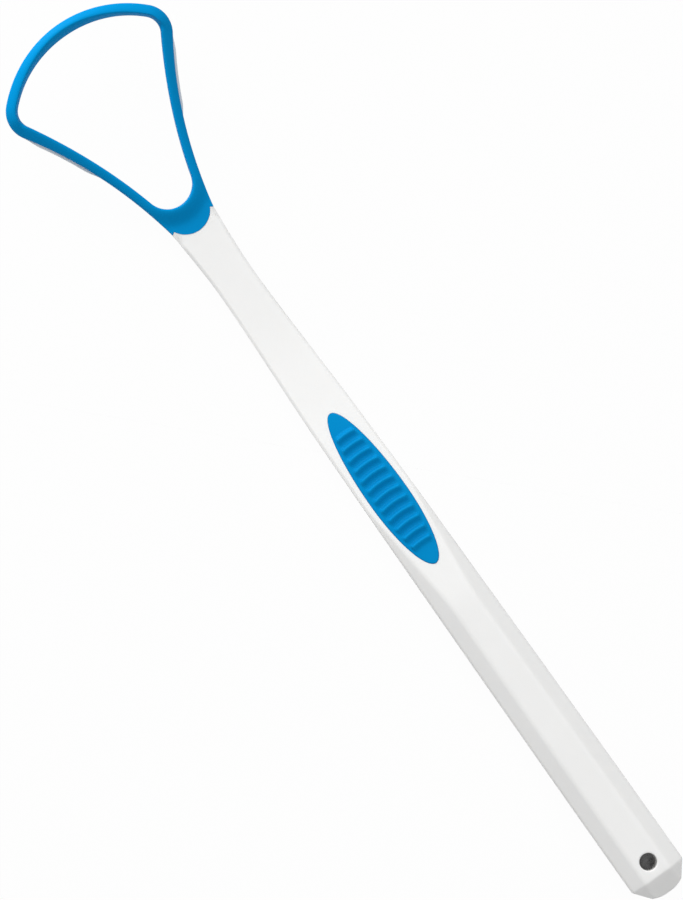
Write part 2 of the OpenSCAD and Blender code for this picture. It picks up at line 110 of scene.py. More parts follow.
# Proportions of the skin
FLUSH_SHARE = 0.06  # of the bib's thickness, by which it stands proud
LIP_GROW_SHARE = 0.6  # of the corner, in which the lip grows
CREST_MIDDLE = 0.5  # place of the crest across the band, at the tip
CREST_CORNER = 0.24  # the same at the corners
CREST_BIB = 0.38  # the same for the points over the bib
LIP_CURVE = 1.5  # power of the lip's curve on both sides of its crest
LIP_EDGE_SHARE = 0.4  # of the rim's edge rounding, for the lip's
BIB_EDGE_SHARE = 0.25  # of the arms' edge rounding, for the bib's
BIB_DROP_SHARE = 0.5  # of that rounding, by which the bib's edge drops
GAP_SHARE = 0.09  # of the side skin's thickness, for the gap to the core
SEAT_PLACE = 0.33  # places of the points on the bib's seat

# Proportions of the pad and its pocket
RIB_FADE_START = 0.66  # of the half width, where the ribs start to fade
RIB_FADE_SHARE = 0.2  # of the half width, over which they fade
POCKET_GAP_SHARE = 0.1  # of the pad edge's height
POCKET_RIM_SHARES = ((1, -1.2), (3, -0.4), (8, 0.2))  # of that gap sideways, and of the edge's height up

# Spacings of the patterns; the grain is about the finest that the render shows
FLOW_SPACING = 9 * MM
PEEL_SPACING = 0.5 * MM
CLOUD_SPACING = 4 * MM
GRAIN_SPACING = 0.22 * MM
MOTTLE_SPACING = 60 * MM

# How near a wall paints shade into a hollow of the blue, and how near the tool paints shade on the floor
# and lets its real shade show
PAINTED_SHADE_REACH = 2.5 * MM
COVER_REACH = 5 * MM

# The stage
FLOOR_HALF = 4.0
WHITE_SHARE = 0.97  # most of the floor's shade that the camera's white takes over
WORLD_LIGHT = 0.45
VIEW_END = 50.0

# Each lamp's direction from the middle of the tool, its distance and size in metres, and its watts
LAMPS = {
    "head lamp": ((0.82, -0.09, 0.56), 2.4, 1.05, 32.5),
    "near lamp": ((0.24, 0.03, 0.06), 0.249, 0.08, 0.15),
    "overhead lamp": ((-0.14, -0.34, 1.0), 1.8, 1.2, 5.6),
}


def length(name, description, millimetres):
    """A size that the panel shows, kept in metres."""
    return bpy.props.FloatProperty(
        name=name, description=description, default=millimetres * MM, min=0.0,
        unit="LENGTH", precision=5)


def angle(name, description, degrees):
    """An angle that the panel shows."""
    return bpy.props.FloatProperty(
        name=name, description=description, default=math.radians(degrees), subtype="ANGLE")


def share(name, description, default):
    """A plain share between nothing and one."""
    return bpy.props.FloatProperty(
        name=name, description=description, default=default, min=0.0, max=1.0, subtype="FACTOR")


def linear(hex_colour):
    """Linear red, green and blue of an sRGB colour written as hex."""
    parts = [int(hex_colour[i:i + 2], 16) / 255 for i in (1, 3, 5)]
    return tuple(c / 12.92 if c <= 0.04045 else ((c + 0.055) / 1.055) ** 2.4 for c in parts)


def colour(name, description, hex_colour):
    """A colour that the panel shows."""
    return bpy.props.FloatVectorProperty(
        name=name, description=description, default=linear(hex_colour), size=3,
        min=0.0, max=1.0, subtype="COLOR")


class HandleSizes(bpy.types.PropertyGroup):
    """Sizes of the grip, its slope and the neck."""
    grip_length: length("Grip length", "From the butt's tip to the start of the slope", 62.0)
    slope_length: length("Slope length", "Length of the slope under the thumb pad", 66.0)
    neck_length: length("Neck length", "From the foot of the slope to the shoulders", 19.9)
    butt_width: length("Butt width", "Width across the butt", 11.05)
    grip_width: length("Grip width", "Width at the start of the thumb pad", 10.25)
    slope_width: length("Slope width", "Width near the end of the thumb pad", 9.28)
    waist_width: length("Waist width", "Width of the neck at its waist", 7.56)
    waist_back: length("Waist place", "From the waist to the shoulders", 13.9)
    grip_thickness: length("Grip thickness", "Thickness of the grip", 8.0)
    neck_thickness: length("Neck thickness", "Thickness of the neck", 3.2)
    facet_width: length("Facet width", "Width of the long facets, seen from above", 2.8)
    facet_depth: length("Facet depth", "Depth of the long facets", 2.4)
    edge_depth: length("Least facet", "Depth of the facet that is left on the thin neck", 0.4)
    edge_round: length("Edge rounding", "Length over which the facets' edges are rounded", 0.55)
    nose_length: length("End facets", "Length of the tapered facets at the butt", 3.6)
    nose_fall: length("End facet fall", "Fall of the top facet at the butt", 2.6)
    nose_rise: length("End facet rise", "Rise of the under facet at the butt", 2.4)
    bulge_length: length("End bulge", "Bulge of the butt's end", 0.7)
    bulge_half_width: length("End half width", "Half width at which the end's corners start", 3.2)
    end_half_width: length("Cut end", "Half width of the butt's flat end", 1.2)
    ease_in: length("Slope begins", "Length over which the slope begins", 6.0)
    ease_out: length("Slope ends", "Length over which the slope ends", 24.0)


class HeadSizes(bpy.types.PropertyGroup):
    """Sizes of the bend, the loop and its soft skin."""
    bend_length: length("Bend length", "Length of the gentle bend before the shoulders", 32.4)
    bend_radius: length("Bend radius", "Radius of the gentle bend", 370.0)
    scoop_radius: length("Scoop radius", "Radius of the scoop along the head", 154.0)
    head_width: length("Head width", "Width over the loop", 34.4)
    throat_length: length("Throat", "From the shoulders to the opening", 3.6)
    arm_band: length("Arm width", "Width of the arms", 1.65)
    corner_band: length("Corner width", "Width of the band at the corners", 2.15)
    lip_band: length("Lip width", "Width of the scraping lip", 2.5)
    front_radius: length("Front radius", "Centre-line radius of the loop's front", 21.2)
    corner_radius: length("Corner radius", "Centre-line radius of the corners", 4.15)
    arm_radius: length("Arm radius", "Centre-line radius of the arms", 89.5)
    arm_angle: angle("Arm angle", "Heading of the arms where they meet the corners", 31.8)
    front_height: length("Front height", "Height of the white core at the loop's front", 1.4)
    bib_thickness: length("Bib thickness", "Thickness of the skin where it is let in", 0.8)
    bib_reach: length("Bib reach", "Reach of the bib up the neck", 2.0)
    shoulder_lip: length("Bib corner", "Width that the neck keeps beside the bib", 0.55)
    shoulder_step: length("Bib step", "How far the bib's corners lie past the shoulders", 0.36)
    rim_height: length("Rim height", "Height of the rim over the neck", 1.3)
    rim_width: length("Rim width", "Width of the rim's crest", 0.2)
    rim_fall: length("Rim fall", "Width of the rim's slope at the throat", 3.2)
    arm_fall: length("Arm fall", "Width of the rim's slope along the arms", 2.9)
    lip_height: length("Lip height", "Height of the scraping lip over the neck", 1.8)
    lip_inner: length("Lip inner edge", "Height of the lip's inner edge", 0.1)
    lip_outer: length("Lip outer edge", "Height of the lip's outer edge", 0.7)
    inner_round: length("Inner rounding", "Rounding of the skin's inner edge", 0.35)
    outer_round: length("Outer rounding", "Rounding of the skin's outer edge", 0.4)
    side: length("Side skin", "Thickness of the skin on the loop's sides", 0.35)
    throat_side: length("Throat skin", "Thickness of the skin on the throat's wall", 0.45)
    foot_height: length("Foot height", "Height of the white foot below the skin", 0.5)
    foot_round: length("Foot rounding", "Rounding of the foot's lower edges", 0.15)
    window_start: length("Foot window", "From the throat to where the foot stands proud", 12.0)
    window_length: length("Window length", "Length over which the foot stands proud", 14.4)
    window_height: length("Window height", "Height of the foot there", 1.35)
    window_proud: length("Window step", "How far the foot stands proud", 0.45)
    window_end: length("Window ends", "Length over which the step comes and goes", 3.2)


class PadSizes(bpy.types.PropertyGroup):
    """Sizes of the ribbed thumb pad."""
    from_slope: length("Pad place", "From the start of the slope to the widest point", 25.4)
    butt_length: length("Butt side", "From the widest point to the tip near the butt", 14.8)
    head_length: length("Head side", "From the widest point to the tip near the head", 18.1)
    width: length("Pad width", "Width of the pad", 7.3)
    seat: length("Pad seat", "Depth of the pocket that the pad sits in", 1.2)
    edge: length("Pad edge", "Height of the pad's edge over the handle", 0.1)
    crown: length("Pad crown", "Height of the pad's crown over the handle", 0.3)
    edge_round: length("Edge rounding", "Rounding of the pad's edge", 0.22)
    rib_pitch: length("Rib spacing", "Spacing of the ribs", 2.133)
    rib_height: length("Rib height", "Height of the ribs over the pad", 0.6)
    rib_bow: length("Rib bow", "How far the ribs bow towards the head", 0.6)
    rib_fall: share("Rib fall", "Share of the spacing in which a rib falls on its head side", 0.34)
    rib_lean: bpy.props.FloatProperty(
        name="Rib lean", description="How late a rib rises towards its crest",
        default=1.4, min=0.5, max=3.0)
    rib_start: share("First rib", "Place of the first rib's crest, as a share of the butt side", 0.674)
    rib_end: share("Last rib", "Most that the last crest may lie out, as a share of the head side", 0.8)


class Finishes(bpy.types.PropertyGroup):
    """Colours and finishes."""
    white: colour("White", "Moulded white polypropylene", "#f6f6f5")
    white_shade: colour("White shade", "The slightly deeper mottling of its surface", "#f2f2f1")
    blue: colour("Blue", "Soft blue elastomer", "#008cce")
    blue_cloud: colour("Clouded blue", "The slightly deeper clouds in its colour", "#008ac8")
    # Painted shade: a deeper blue that the elastomer takes where nearby walls close in
    blue_painted_shade: colour("Deep blue", "The elastomer in its hollows", "#0068a0")
    floor: colour("Floor", "The plain pale floor", "#d2d2d2")
    # Painted shade: dark grey laid on the floor where the tool covers it closely, as under the hanging hole
    floor_painted_shade: colour("Deep floor", "The floor at the bottom of the hanging hole", "#5a5a5a")


def mix(a, b, t):
    """The value a share t of the way from a to b."""
    return a + (b - a) * t


def clamp(t):
    """The nearest value between nothing and one."""
    return max(0.0, min(1.0, t))


def ease(t):
    """A smooth rise from nothing to one, level at both ends."""
    t = clamp(t)
    return t * t * (3 - 2 * t)


def on_circle(turn, radius, centre):
    """The point of a circle at a turn from the x axis."""
    return centre + Vector((math.cos(turn), math.sin(turn))) * radius


class Form:
    """Curves of the tool, drawn straight from the butt's tip at x = 0 and then lifted by the spine."""

    def __init__(self, scene):
        h = self.h = scene.scraper_handle
        s = self.s = scene.scraper_head
        self.total = CORE_HIGH.x - CORE_LOW.x
        self.slope_end = h.grip_length + h.slope_length
        self.shoulder = self.slope_end + h.neck_length
        self.bend = self.shoulder - s.bend_length
        self.throat = self.shoulder + s.throat_length
        self.floor = h.neck_thickness - s.bib_thickness
        self.gap = s.side * GAP_SHARE
        self.plan_loop()
        self.plan_bib()
        self.plan_handle()

    def plan_loop(self):
        """Front, corner and arm arcs are tangent where they meet, and the throat is tangent to the arms."""
        s = self.s
        self.front = Vector((self.total - s.lip_band / 2 - s.front_radius, 0))
        corner_y = s.head_width / 2 - s.corner_band / 2 - s.corner_radius
        reach = s.front_radius - s.corner_radius
        self.corner = Vector((self.front.x + math.sqrt(reach ** 2 - corner_y ** 2), corner_y))
        self.front_angle = math.asin(corner_y / reach)
        away = Vector((-math.sin(s.arm_angle), math.cos(s.arm_angle)))
        self.arm = self.corner + away * (s.corner_radius + s.arm_radius)
        self.arm_inner = s.arm_radius + s.arm_band / 2
        self.arm_outer = s.arm_radius - s.arm_band / 2
        past = self.throat - self.arm.x
        chord = past ** 2 + self.arm.y ** 2 - self.arm_inner ** 2
        self.throat_radius = chord / (2 * (self.arm_inner - past))
        self.throat_centre = Vector((self.throat + self.throat_radius, 0))
        self.throat_angle = math.atan2(self.throat_centre.x - self.arm.x, self.arm.y)
        self.shoulder_angle = math.asin((self.shoulder - self.arm.x) / self.arm_outer)
        self.shoulder_half = self.arm_edge(self.shoulder)

    def plan_bib(self):
        """The bib's edge is one arc, from shoulder to shoulder."""
        s = self.s
        half = self.shoulder_half - s.shoulder_lip
        depth = s.bib_reach + s.shoulder_step
        self.bib_radius = (half ** 2 + depth ** 2) / (2 * depth)
        self.bib_angle = math.asin(half / self.bib_radius)
        self.bib_x = self.shoulder - s.bib_reach

    def plan_handle(self):
        """Widths along the handle, the slopes of its plan there, and the grade under the pad."""
        h = self.h
        at_grip = mix(h.grip_length, self.slope_end, GRIP_PLACE)
        at_slope = mix(h.grip_length, self.slope_end, SLOPE_PLACE)
        self.width_x = [h.nose_length, at_grip, at_slope, self.shoulder - h.waist_back, self.shoulder]
        halves = [h.butt_width, h.grip_width, h.slope_width, h.waist_width]
        self.width_y = [w / 2 for w in halves] + [self.shoulder_half]
        x, y = self.width_x, self.width_y
        inner = [(y[i + 1] - y[i - 1]) / (x[i + 1] - x[i - 1]) for i in range(1, len(x) - 1)]
        self.width_slope = [0.0] + inner + [SHOULDER_FLARE]
        self.fall_all = h.grip_thickness - h.neck_thickness
        self.grade = self.fall_all / (h.slope_length - (h.ease_in + h.ease_out) / 2)

    def arm_edge(self, x):
        """Half width of the loop's outer edge, along the arms."""
        return self.arm.y - math.sqrt(self.arm_outer ** 2 - (x - self.arm.x) ** 2)

    def spine(self, x):
        """Height of the middle line: straight, then the gentle bend, then the head's scoop."""
        s = self.s
        if x <= self.bend:
            return 0.0
        if x <= self.shoulder:
            return (x - self.bend) ** 2 / (2 * s.bend_radius)
        past = x - self.shoulder
        start = s.bend_length ** 2 / (2 * s.bend_radius)
        return start + past * s.bend_length / s.bend_radius + past ** 2 / (2 * s.scoop_radius)

    def fall(self, x):
        """How far the top has fallen below the grip's, with an eased start and end."""
        h = self.h
        a = x - h.grip_length
        b = self.slope_end - x
        if a <= 0:
            return 0.0
        if b <= 0:
            return self.fall_all
        if a < h.ease_in:
            return self.grade * a * a / (2 * h.ease_in)
        if b < h.ease_out:
            return self.fall_all - self.grade * b * b / (2 * h.ease_out)
        return self.grade * (a - h.ease_in / 2)

    def nose(self, x):
        """One at the butt's tip and nothing past the end facets, with a rounded change."""
        soft = self.h.edge_round / 2
        past = self.h.nose_length - x
        if past <= -soft:
            return 0.0
        if past < soft:
            return (past + soft) ** 2 / (4 * soft) / self.h.nose_length
        return past / self.h.nose_length

    def end_round(self, x):
        """How far the faces draw in at the butt's rounded end."""
        r = self.h.edge_round / 2
        return r - math.sqrt(r * r - (r - x) ** 2) if x < r else 0.0

    def half_width(self, x):
        """Half width of the handle: the bulge, the end facets, then one smooth curve."""
        h = self.h
        if x <= h.bulge_length:
            return math.sqrt(mix(h.end_half_width ** 2, h.bulge_half_width ** 2, x / h.bulge_length))
        if x <= h.nose_length:
            t = (x - h.bulge_length) / (h.nose_length - h.bulge_length)
            return mix(h.bulge_half_width, h.butt_width / 2, t) - self.soft_corner(x)
        i = max(i for i in range(len(self.width_x) - 1) if x >= self.width_x[i])
        span = self.width_x[i + 1] - self.width_x[i]
        t = (x - self.width_x[i]) / span
        u = 1 - t
        ends = (1 + 2 * t) * u * u * self.width_y[i] + t * t * (3 - 2 * t) * self.width_y[i + 1]
        slopes = t * u * u * self.width_slope[i] - t * t * u * self.width_slope[i + 1]
        return ends + slopes * span - self.soft_corner(x)

    def soft_corner(self, x):
        """Rounds the plan where the end facets' corners start."""
        h = self.h
        soft = h.edge_round / 2
        steep = (h.butt_width / 2 - h.bulge_half_width) / (h.nose_length - h.bulge_length)
        return steep * max(0.0, soft - abs(x - h.nose_length)) ** 2 / (4 * soft)

    def top(self, x):
        """Height of the top face."""
        h = self.h
        return h.grip_thickness - self.fall(x) - h.nose_fall * self.nose(x) - self.end_round(x)

    def low(self, x):
        """Height of the underside."""
        return self.h.nose_rise * self.nose(x) + self.end_round(x)

    def top_facet(self, x):
        """Depth of the long facets beside the top face."""
        h = self.h
        return max(h.edge_depth, h.facet_depth - self.fall(x) - h.nose_fall * self.nose(x))

    def low_facet(self, x):
        """Depth of the long facets beside the underside."""
        h = self.h
        f = h.facet_depth - h.nose_rise * self.nose(x)
        return max(h.edge_depth, mix(f, h.edge_depth, ease((x - self.slope_end) / h.neck_length)))

    def bib_point(self, k, gap):
        """A point of the bib's edge, a gap nearer the head."""
        a = self.bib_angle * k / (HALF_STEPS - 1)
        r = self.bib_radius
        return Vector((self.bib_x + gap + r * (1 - math.cos(a)), r * math.sin(a)))

    def band(self, k):
        """Width of the loop's band."""
        s = self.s
        if k <= ARM_END:
            return mix(s.arm_band, s.corner_band, clamp((k - THROAT_STEPS) / (ARM_END - THROAT_STEPS)) ** 3)
        return mix(s.corner_band, s.lip_band, ease((k - CORNER_END) / (LAST_STEP - CORNER_END)))

    def band_point(self, k, offset):
        """A point of the band, an offset outward from its centre line."""
        s = self.s
        if k <= ARM_END:
            a = mix(self.throat_angle, s.arm_angle, (k - THROAT_STEPS) / (ARM_END - THROAT_STEPS))
            return on_circle(a - math.pi / 2, s.arm_radius - offset, self.arm)
        if k <= CORNER_END:
            t = (k - ARM_END) / (CORNER_END - ARM_END)
            a = mix(s.arm_angle, self.front_angle - math.pi / 2, t)
            return on_circle(a + math.pi / 2, s.corner_radius + offset, self.corner)
        a = mix(self.front_angle, 0.0, (k - CORNER_END) / (LAST_STEP - CORNER_END))
        return on_circle(a, s.front_radius + offset, self.front)

    def inner_point(self, k, depth):
        """A point a depth into the band from the opening's edge."""
        if k > THROAT_STEPS:
            return self.band_point(k, depth - self.band(k) / 2)
        a = math.pi - (math.pi / 2 - self.throat_angle) * k / THROAT_STEPS
        return on_circle(a, self.throat_radius + depth, self.throat_centre)

    def outer_point(self, k, depth):
        """A point a depth into the band from its outer edge."""
        if k > THROAT_STEPS:
            return self.band_point(k, self.band(k) / 2 - depth)
        a = mix(self.shoulder_angle, self.throat_angle, (k - HALF_STEPS) / (THROAT_STEPS - HALF_STEPS))
        return on_circle(a - math.pi / 2, self.arm_outer + depth, self.arm)

    def inner_side(self, k):
        """Thickness of the skin on the opening's wall."""
        return mix(self.s.throat_side, self.s.side, ease((k - HALF_STEPS) / HALF_STEPS))

    def loop_low(self, x):
        """Height of the loop's underside, which rises as the core thins."""
        thin = self.floor - self.s.front_height
        return thin * ease((x - self.throat_centre.x) / (self.h.neck_length * THIN_SHARE))

    def window(self, k):
        """One where the foot stands proud of the skin, and nothing elsewhere."""
        s = self.s
        if k < HALF_STEPS:
            return 0.0
        start = self.outer_point(k, 0).x - self.throat - s.window_start
        return ease(start / s.window_end) * ease((s.window_length - start) / s.window_end)

    def foot_low(self, k):
        """Height of the foot's underside at its outer edge."""
        return self.loop_low(self.outer_point(k, 0).x) if k >= HALF_STEPS else 0.0

    def foot_top(self, k):
        """Height of the foot's top at its outer edge."""
        return self.foot_low(k) + mix(self.s.foot_height, self.s.window_height, self.window(k))

    def lip_part(self, k):
        """Nothing along the arms, and one where the lip is whole."""
        return ease((k - ARM_END) / ((CORNER_END - ARM_END) * LIP_GROW_SHARE))

    def place(self, x, y, z):
        """A point in the frame, lifted by the spine."""
        return (x + CORE_LOW.x, y, z + self.spine(x))


def faced_half(form, w, f):
    """Half of a face with facets: distance from the middle, and depth below the face."""
    h = form.h
    g = f * h.facet_width / h.facet_depth
    t = min(h.edge_round, EDGE_LIMIT * g)
    tilt = math.atan2(h.facet_depth, h.facet_width)
    down = Vector((math.cos(tilt), math.sin(tilt)))
    flat_end = Vector((w - g - t, 0))
    edge = Vector((w - g, 0))
    corner = Vector((w, f))
    points = [Vector((flat_end.x * i / FLAT_STEPS, 0)) for i in range(FLAT_STEPS)]
    points += curve_between(flat_end, edge, edge + down * t, EDGE_STEPS)
    points += curve_between(corner - down * t, corner, corner + Vector((0, t)), EDGE_STEPS)
    return points


def curve_between(a, corner, b, steps):
    """Points of a smooth curve from a to b that rounds off the corner."""
    shares = [i / steps for i in range(steps + 1)]
    return [a * (1 - t) ** 2 + corner * (2 * t * (1 - t)) + b * t * t for t in shares]


def ring_round(top, side, low):
    """A ring across the top, down the +Y side, back across the underside and up the -Y side."""
    def other(points):
        return [(x, -y, z) for x, y, z in points]

    return other(top[:0:-1]) + top + side + low[::-1] + other(low[1:]) + other(side[::-1])


def handle_ring(form, x):
    """A section across the handle, as one ring of points."""
    w = form.half_width(x)
    top, low = form.top(x), form.low(x)
    upper = faced_half(form, w, form.top_facet(x))
    under = faced_half(form, w, form.low_facet(x))
    side_top, side_low = top - upper[-1].y, low + under[-1].y
    steps = SIDE_STEPS + 1
    return ring_round(
        [(x, p.x, top - p.y) for p in upper],
        [(x, w, mix(side_top, side_low, i / steps)) for i in range(1, steps)],
        [(x, p.x, low + p.y) for p in under])


def foot_curve(form, out, inward, low):
    """Points round a lower edge of the foot, from its wall to its underside."""
    r = form.s.foot_round
    steps = [i / FOOT_STEPS * math.pi / 2 for i in range(FOOT_STEPS + 1)]
    return [(*(out + inward * r * (1 - math.cos(a))), low + r * (1 - math.sin(a))) for a in steps]


def neck_end_rings(form):
    """The ring at the shoulders, and the ring on the floor of the skin's seat."""
    s, h = form.s, form.h
    half, web = form.shoulder_half, form.shoulder_half - s.side
    foot_x = form.shoulder + s.foot_height * FOOT_START_SHARE
    foot_y = form.arm_edge(foot_x)

    def bib(z, corner):
        arc = [(*form.bib_point(k, 0), z) for k in range(HALF_STEPS)]
        return arc + [(form.shoulder, corner, z)]

    def under(x, w):
        return [(x, (w - s.foot_round) * k / HALF_STEPS, 0.0) for k in range(HALF_STEPS + 1)]

    inward = Vector((0, -1))
    curve = foot_curve(form, Vector((form.shoulder, half)), inward, 0.0)[:-1]
    middle = (form.shoulder, half, (s.foot_height + s.foot_round) / 2)
    sides = [(form.shoulder, half, s.foot_height), middle]
    yield ring_round(bib(h.neck_thickness, half), sides + curve, under(form.shoulder, half))
    curve = foot_curve(form, Vector((foot_x, foot_y)), inward, 0.0)[:-1]
    sides = [(form.shoulder, web, s.foot_height), (foot_x, foot_y, s.foot_height)]
    yield ring_round(bib(form.floor, web), sides + curve, under(foot_x, foot_y))


def core_section(form, k):
    """Section of the core's loop, from the web's outer top, down and round the foot, to its inner top."""
    s = form.s
    bib = k < HALF_STEPS
    inner = form.inner_point(k, 0)
    web_in = form.inner_point(k, form.inner_side(k))
    if bib:
        web_out = out = mix(form.bib_point(k, 0), web_in, WEB_PLACE)
        under = mix(form.bib_point(k, 0), inner, WEB_PLACE)
    else:
        web_out = form.outer_point(k, s.side)
        out = form.outer_point(k, -s.window_proud * form.window(k))
    low_in, low_out = form.loop_low(inner.x), form.foot_low(k)
    high_in, high_out = low_in + s.foot_height, form.foot_top(k)
    if bib:
        outer_curve = [(*under, low_out)] * (FOOT_STEPS + 1)
    else:
        inward = (form.outer_point(k, s.side) - form.outer_point(k, 0)).normalized()
        outer_curve = foot_curve(form, out, inward, low_out)
    across = (form.inner_point(k, s.side) if k <= THROAT_STEPS else out) - inner
    inner_curve = foot_curve(form, inner, across.normalized(), low_in)[::-1]
    return (
        [(*web_out, form.floor), (*web_out, high_out), (*out, high_out)] + outer_curve + inner_curve
        + [(*inner, high_in), (*web_in, high_in), (*web_in, form.floor)])


def closed_loop(half):
    """The +Y half of a loop of sections, then its mirror image back to the throat."""
    return half + [[(x, -y, z) for x, y, z in section] for section in half[-2:0:-1]]


def handle_places(form):
    """Places of the handle's rings, closer together where the form changes quickly."""
    h = form.h
    r = h.edge_round / 2
    places = [r * t for t in END_ROUND_SHARES]
    places += [mix(r, h.bulge_length, t) for t in BULGE_SHARES]
    places += [mix(h.bulge_length, h.nose_length - r, t) for t in END_FACET_SHARES]
    places += [h.nose_length + r * t for t in END_CORNER_SHARES]
    start, end = h.nose_length + r, form.bib_x - h.edge_depth
    steps = round((end - start) / RING_SPACING)
    return places + [mix(start, end, i / steps) for i in range(1, steps + 1)]


def core_mesh(form):
    """Points and faces of the core: the handle's rings, then the loop, joined round the shoulders."""
    rings = [handle_ring(form, x) for x in handle_places(form)] + list(neck_end_rings(form))
    ring_n = len(rings[0])
    half = [core_section(form, PAST_SHOULDER if k == HALF_STEPS else k) for k in range(LAST_STEP + 1)]
    loop = closed_loop(half)
    size, count = len(half[0]), len(loop)
    start = len(rings) * ring_n
    points = [form.place(*p) for r in rings + loop for p in r]

    def loop_id(k, j):
        return start + k % count * size + j

    low = FOOT_STEPS + WALL_POINTS
    m = HALF_STEPS
    rim = [loop_id(k, 0) for k in range(-m, m + 1)]
    rim += [loop_id(m, j) for j in range(1, low)]
    rim += [loop_id(k, low) for k in range(m, -m - 1, -1)]
    rim += [loop_id(-m, j) for j in range(low - 1, 0, -1)]
    ids = [[r * ring_n + i for i in range(ring_n)] for r in range(len(rings))] + [rim]
    faces = [list(range(ring_n))]
    for a, b in zip(ids, ids[1:]):
        faces += [(a[i], a[(i + 1) % ring_n], b[(i + 1) % ring_n], b[i]) for i in range(ring_n)]
    for k in range(-LAST_STEP, LAST_STEP):
        for j in range(low if -m <= k < m else 0, size):
            i = (j + 1) % size
            faces.append((loop_id(k, j), loop_id(k, i), loop_id(k + 1, i), loop_id(k + 1, j)))
    return points, faces


def band_faces(a, b, size):
    """Faces between two rings of points, from the numbers of their first points."""
    return [(a + j, a + (j + 1) % size, b + (j + 1) % size, b + j) for j in range(size)]


def capped_faces(count, size):
    """Faces of a stack of rings, with one face at either end."""
    faces = [list(range(size)), list(range((count - 1) * size, count * size))]
    for r in range(count - 1):
        faces += band_faces(r * size, (r + 1) * size, size)
    return faces


def rim_rise(form, k, d):
    """Height of the rim over the neck, at a distance from the opening."""
    s = form.s
    reach = mix(s.rim_fall, s.arm_fall, ease((k - HALF_STEPS) / (THROAT_STEPS - HALF_STEPS)))
    flush = s.bib_thickness * FLUSH_SHARE
    return flush + (s.rim_height - flush) * (1 - ease((d - s.rim_width) / reach))


def crest_share(form, k):
    """Place of the crest across the band, from its inner edge."""
    at = mix(CREST_MIDDLE, CREST_CORNER, form.lip_part(k))
    return mix(at, CREST_MIDDLE, ease((k - CORNER_END) / (LAST_STEP - CORNER_END)))


def lip_rise(form, k, t):
    """Height of the lip over the neck, at a share of the way across the band."""
    s = form.s
    crest = crest_share(form, k)
    if t < crest:
        return mix(s.lip_height, s.lip_inner, (1 - t / crest) ** LIP_CURVE)
    return mix(s.lip_height, s.lip_outer, ((t - crest) / (1 - crest)) ** LIP_CURVE)


def rounding(r, d):
    """How far a rounded edge has fallen at a distance d from it."""
    return r - math.sqrt(max(0.0, r * r - (r - max(0.0, d)) ** 2)) if d < r else 0.0


def skin_radii(form, k):
    """Roundings of the skin's inner and outer edge at a step."""
    s = form.s
    soft = mix(1.0, LIP_EDGE_SHARE, form.lip_part(k))
    grow = ease((k - HALF_STEPS) / (THROAT_STEPS - HALF_STEPS))
    return s.inner_round * soft, mix(BIB_EDGE_SHARE, 1.0, grow) * s.outer_round * soft


def skin_rise(form, k, p, t):
    """Height of the skin over the neck at a point that lies a share of the way across the band."""
    s = form.s
    wide = (form.outer_point(k, 0) - form.inner_point(k, 0)).length
    inner_r, outer_r = skin_radii(form, k)
    if k <= THROAT_STEPS:
        inner_d = (p - form.throat_centre).length - form.throat_radius
    else:
        inner_d = t * wide
    if k <= HALF_STEPS:
        outer_d = outer_r if t < 1 else 0.0
        outer_r *= BIB_DROP_SHARE
    elif k <= THROAT_STEPS:
        outer_d = (p - form.arm).length - form.arm_outer
    else:
        outer_d = (1 - t) * wide
    rise = mix(rim_rise(form, k, inner_d), lip_rise(form, k, t), form.lip_part(k))
    return rise - rounding(inner_r, inner_d) - rounding(outer_r, outer_d)


def skin_shares(form, k, wide):
    """Where the profile is sampled: closer at the edges, and once on the lip's crest."""
    inner_r, outer_r = (min(r / wide, EDGE_LIMIT) for r in skin_radii(form, k))
    turns = [i / SKIN_EDGE_STEPS * math.pi / 2 for i in range(SKIN_EDGE_STEPS + 1)]
    start = [inner_r * (1 - math.cos(a)) for a in turns]
    end = [1 - outer_r * (1 - math.cos(a)) for a in reversed(turns)]
    crest = CREST_BIB if k <= HALF_STEPS else crest_share(form, k)
    half = SKIN_FLAT_STEPS // 2
    middle = [mix(start[-1], crest, i / half) for i in range(1, half + 1)]
    middle += [mix(crest, end[0], i / half) for i in range(1, half)]
    return start + middle + end


def skin_section(form, k, leg):
    """Section of the skin: across the top, down the outer wall, back inside and up the opening's wall."""
    s, h, gap = form.s, form.h, form.gap
    bib = k < HALF_STEPS
    inner = form.inner_point(k, 0)
    out = form.bib_point(k, gap) if bib else form.outer_point(k, 0)
    side_in = form.inner_point(k, form.inner_side(k) - gap)
    side_out = mix(out, side_in, SEAT_PLACE) if bib else form.outer_point(k, s.side - gap)
    seat = form.floor + gap
    foot_in = form.loop_low(inner.x) + s.foot_height + gap
    foot_out = form.foot_top(k) + gap if leg else seat
    section = []
    for t in skin_shares(form, k, (out - inner).length):
        p = mix(inner, out, t)
        section.append((*p, h.neck_thickness + skin_rise(form, k, p, t)))
    section.append((*out, foot_out))
    if leg:
        section += [(*side_out, foot_out), (*side_out, seat)]
    else:
        section += [(*side_out, seat), (*mix(side_out, side_in, SEAT_PLACE), seat)]
    return section + [(*side_in, seat), (*side_in, foot_in), (*inner, foot_in)]


def skin_mesh(form):
    """Points and faces of the soft skin, one closed sweep round the loop."""
    m = HALF_STEPS
    gap = form.gap / (form.outer_point(m + 1, 0) - form.outer_point(m, 0)).length
    half = [skin_section(form, k, False) for k in range(m)]
    half += [skin_section(form, m + gap, False), skin_section(form, m + 2 * gap, True)]
    half += [skin_section(form, k, True) for k in range(m + 1, LAST_STEP + 1)]
    loop = closed_loop(half)
    size, count = len(half[0]), len(loop)
    points = [form.place(*p) for section in loop for p in section]
    faces = []
    for a in range(count):
        faces += band_faces(a * size, (a + 1) % count * size, size)
    return points, faces


